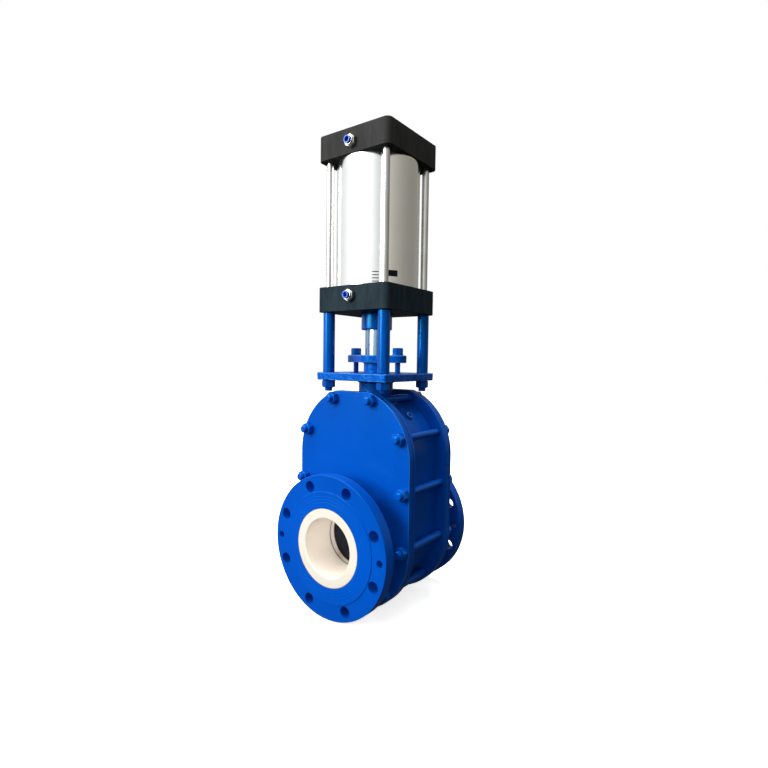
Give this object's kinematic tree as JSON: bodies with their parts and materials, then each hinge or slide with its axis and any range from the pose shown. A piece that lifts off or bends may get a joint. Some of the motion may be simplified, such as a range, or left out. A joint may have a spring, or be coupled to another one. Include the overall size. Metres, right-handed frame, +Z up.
{
  "type": "gate valve",
  "caption": "Flanged double-disc gate valve with a ceramic lined port, a box body between bolted covers, and a tie-rod air cylinder on a post yoke above.",
  "frame": {"origin": "centre of the valve, on the pipe axis midway between the two flange faces", "axes": "+Y along the pipe towards the rear flange, +Z up the stem towards the air cylinder, +X to the right seen from the front flange"},
  "size_m": [0.2814, 0.3, 0.9514],
  "materials": {
    "blue_paint": "bright blue gloss paint over cast and fabricated steel",
    "black_coat": "black satin coating over cast aluminium",
    "barrel_aluminium": "fine drawn finish, clear anodised",
    "tie_steel": "bright drawn steel",
    "chrome": "hard chrome, polished",
    "white_ceramic": "cream alumina, satin",
    "dark_ceramic": "dark grey lapped ceramic",
    "plain_steel": "machined steel",
    "piston_alloy": "turned aluminium",
    "nitrile": "black rubber",
    "graphite": "braided graphite and filled plastic, matt",
    "nickel": "nickel-plated brass",
    "blue_plastic": "blue moulded plastic, gloss"
  },
  "bodies": {
    "valve": {"front_flange": "blue_paint", "front_pipe_stub": "blue_paint", "front_cover": "blue_paint", "front_gasket": "nitrile", "front_liner": "white_ceramic", "front_seat": "white_ceramic", "rear_flange": "blue_paint", "rear_pipe_stub": "blue_paint", "rear_cover": "blue_paint", "rear_gasket": "nitrile", "rear_liner": "white_ceramic", "rear_seat": "white_ceramic", "body_frame": "blue_paint", "vent_plug": "blue_paint", "stuffing_box": "blue_paint", "packing_ring_1": "graphite", "packing_ring_2": "graphite", "packing_ring_3": "graphite", "gland_follower": "blue_paint", "left_gland_bolt": "blue_paint", "right_gland_bolt": "blue_paint", "yoke_plate": "blue_paint", "front_left_post": "blue_paint", "front_right_post": "blue_paint", "rear_left_post": "blue_paint", "rear_right_post": "blue_paint", "rod_guide": "blue_paint", "rod_seal": "nitrile", "lower_cap": "black_coat", "upper_cap": "black_coat", "barrel": "barrel_aluminium", "front_left_tie_rod": "tie_steel", "front_right_tie_rod": "tie_steel", "rear_left_tie_rod": "tie_steel", "rear_right_tie_rod": "tie_steel", "lower_air_fitting": "nickel", "upper_air_fitting": "nickel", "body_stud_01": "blue_paint", "body_stud_02": "blue_paint", "body_stud_03": "blue_paint", "body_stud_04": "blue_paint", "body_stud_05": "blue_paint", "body_stud_06": "blue_paint", "body_stud_07": "blue_paint", "body_stud_08": "blue_paint", "body_stud_09": "blue_paint", "body_stud_10": "blue_paint", "body_stud_11": "blue_paint"},
    "gate": {"stem": "chrome", "stem_pin": "plain_steel", "gate_carrier": "plain_steel", "disc_spring": "plain_steel", "piston": "piston_alloy", "piston_seal": "nitrile", "piston_wear_band": "graphite", "piston_nut": "plain_steel"},
    "front_disc": {"front_disc": "dark_ceramic"},
    "rear_disc": {"rear_disc": "dark_ceramic"},
    "lower_collet": {"lower_collet": "blue_plastic"},
    "upper_collet": {"upper_collet": "blue_plastic"}
  },
  "joints": [
    {"name": "gate_lift", "type": "slide", "parent": "valve", "child": "gate", "axis": [0, 0, 1], "range_m": [0, 0.15]},
    {"name": "front_disc_spin", "type": "hinge", "parent": "gate", "child": "front_disc", "pos_m": [0, -0.05, 0], "axis": [0, 1, 0], "continuous": true},
    {"name": "rear_disc_spin", "type": "hinge", "parent": "gate", "child": "rear_disc", "pos_m": [0, 0.05, 0], "axis": [0, 1, 0], "continuous": true},
    {"name": "lower_collet_press", "type": "slide", "parent": "valve", "child": "lower_collet", "axis": [0, 1, 0], "range_m": [0, 0.0019], "stiffness_N_per_m": 800},
    {"name": "upper_collet_press", "type": "slide", "parent": "valve", "child": "upper_collet", "axis": [0, 1, 0], "range_m": [0, 0.0019], "stiffness_N_per_m": 800}
  ]
}
